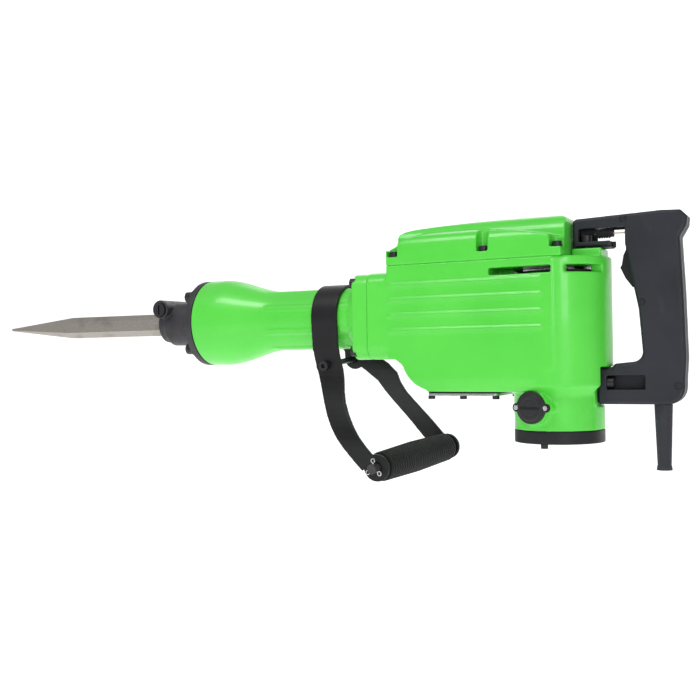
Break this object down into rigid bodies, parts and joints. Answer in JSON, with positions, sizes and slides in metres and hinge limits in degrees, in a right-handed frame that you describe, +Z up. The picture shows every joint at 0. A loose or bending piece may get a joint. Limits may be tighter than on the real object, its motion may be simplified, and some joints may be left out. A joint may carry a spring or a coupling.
{
  "type": "demolition hammer",
  "caption": "Electric demolition hammer: hex point chisel, flared barrel, finned crankcase, upright motor, D-shaped rear handle with trigger and a clamped side grip.",
  "frame": {"origin": "centre of the tool socket mouth, on the barrel axis", "axes": "+X runs back along the barrel axis to the rear handle, +Z is up towards the gear cover, -Y is the side with the strap screw head"},
  "size_m": [1.076, 0.1921, 0.334],
  "materials": {
    "green_paint": "gloss",
    "tool_steel": "worn",
    "dark_cast": "satin",
    "machined_steel": "satin",
    "bearing_steel": "polished",
    "bright_steel": "polished",
    "black_steel": "satin",
    "seal_rubber": "matte",
    "soft_rubber": "matte",
    "plate_alloy": "satin",
    "lamination": "matte",
    "copper_wire": "satin",
    "carbon": "matte",
    "black_plastic": "satin",
    "handle_plastic": "satin",
    "lead_insulation": "satin"
  },
  "bodies": {
    "housing": {"front_cap": "dark_cast", "tool_sleeve": "machined_steel", "front_cap_bolts": "black_steel", "barrel_housing": "green_paint", "barrel_flange_bolts": "black_steel", "cylinder_sleeve": "machined_steel", "hammer_holder": "machined_steel", "crank_bearings": "bearing_steel", "mid_bearings": "bearing_steel", "crankcase": "green_paint", "gear_cover": "green_paint", "gear_cover_bolts": "black_steel", "bottom_gasket": "seal_rubber", "bottom_cover": "plate_alloy", "bottom_cover_bolts": "black_steel", "stator": "lamination", "stator_coils": "copper_wire", "fan_guide": "black_plastic", "motor_bearings": "bearing_steel", "brush_holders": "black_plastic", "carbon_brushes": "carbon", "brush_springs": "bright_steel", "brush_caps": "black_plastic", "brush_cap_screws": "bright_steel", "tail_cover": "black_plastic", "tail_cover_screws": "black_steel", "handle_left": "handle_plastic", "handle_right": "handle_plastic", "handle_screws": "black_steel", "handle_bolts": "black_steel", "switch_body": "black_plastic", "wire_sleeve": "soft_rubber", "motor_leads": "lead_insulation", "cord_guard": "soft_rubber"},
    "chisel": {"chisel": "tool_steel"},
    "retainer": {"retainer_pin": "black_steel", "retainer_ring": "bright_steel"},
    "impact": {"impact_bolt": "machined_steel"},
    "striker": {"striker": "machined_steel", "striker_rings": "seal_rubber"},
    "piston": {"piston": "machined_steel", "piston_ring": "seal_rubber", "wrist_pin": "machined_steel"},
    "conrod": {"conrod": "machined_steel", "crank_pin": "machined_steel"},
    "crank": {"crankshaft": "machined_steel", "final_gear": "machined_steel"},
    "mid": {"mid_shaft": "machined_steel", "first_gear": "machined_steel"},
    "armature": {"armature_shaft": "machined_steel", "armature_core": "lamination", "commutator": "copper_wire", "cooling_fan": "black_plastic"},
    "trigger": {"trigger": "black_plastic"},
    "side_handle": {"side_strap": "black_steel", "strap_bolt": "black_steel", "strap_nut": "black_steel", "side_grip": "soft_rubber", "grip_bar": "black_steel", "split_pins": "bright_steel"}
  },
  "joints": [
    {"name": "chisel_slide", "type": "slide", "parent": "housing", "child": "chisel", "axis": [-1, 0, 0], "range_m": [0, 0.039]},
    {"name": "retainer_turn", "type": "hinge", "parent": "housing", "child": "retainer", "pos_m": [0.012, 0, 0.021], "axis": [0, -1, 0], "range_deg": [0, 180]},
    {"name": "impact_slide", "type": "slide", "parent": "housing", "child": "impact", "axis": [-1, 0, 0], "range_m": [0, 0.0118]},
    {"name": "striker_slide", "type": "slide", "parent": "housing", "child": "striker", "axis": [1, 0, 0], "range_m": [0, 0.04]},
    {"name": "piston_stroke", "type": "slide", "parent": "housing", "child": "piston", "axis": [1, 0, 0], "range_m": [-0.024, 0.024]},
    {"name": "conrod_swing", "type": "hinge", "parent": "piston", "child": "conrod", "pos_m": [0.3755, 0, 0], "axis": [0, 0, 1], "range_deg": [-12.4, 12.4]},
    {"name": "armature_spin", "type": "hinge", "parent": "housing", "child": "armature", "pos_m": [0.598, 0, 0], "axis": [0, 0, 1], "continuous": true},
    {"name": "mid_spin", "type": "hinge", "parent": "housing", "child": "mid", "pos_m": [0.5455, 0, 0], "axis": [0, 0, 1], "continuous": true},
    {"name": "crank_spin", "type": "hinge", "parent": "housing", "child": "crank", "pos_m": [0.4875, 0, 0], "axis": [0, 0, 1], "continuous": true},
    {"name": "trigger_pull", "type": "hinge", "parent": "housing", "child": "trigger", "pos_m": [0.698, 0, 0.08], "axis": [0, -1, 0], "range_deg": [0, 8], "stiffness_Nm_per_rad": 2, "springref_deg": -20.05},
    {"name": "side_handle_swivel", "type": "hinge", "parent": "housing", "child": "side_handle", "pos_m": [0.289, 0, 0], "axis": [1, 0, 0], "range_deg": [-180, 180]}
  ],
  "couplings": [
    {"joint": "mid_spin", "follows": "armature_spin", "ratio": -0.22807},
    {"joint": "crank_spin", "follows": "armature_spin", "ratio": 0.059497},
    {"joint": "impact_slide", "follows": "chisel_slide", "ratio": 0.3}
  ]
}
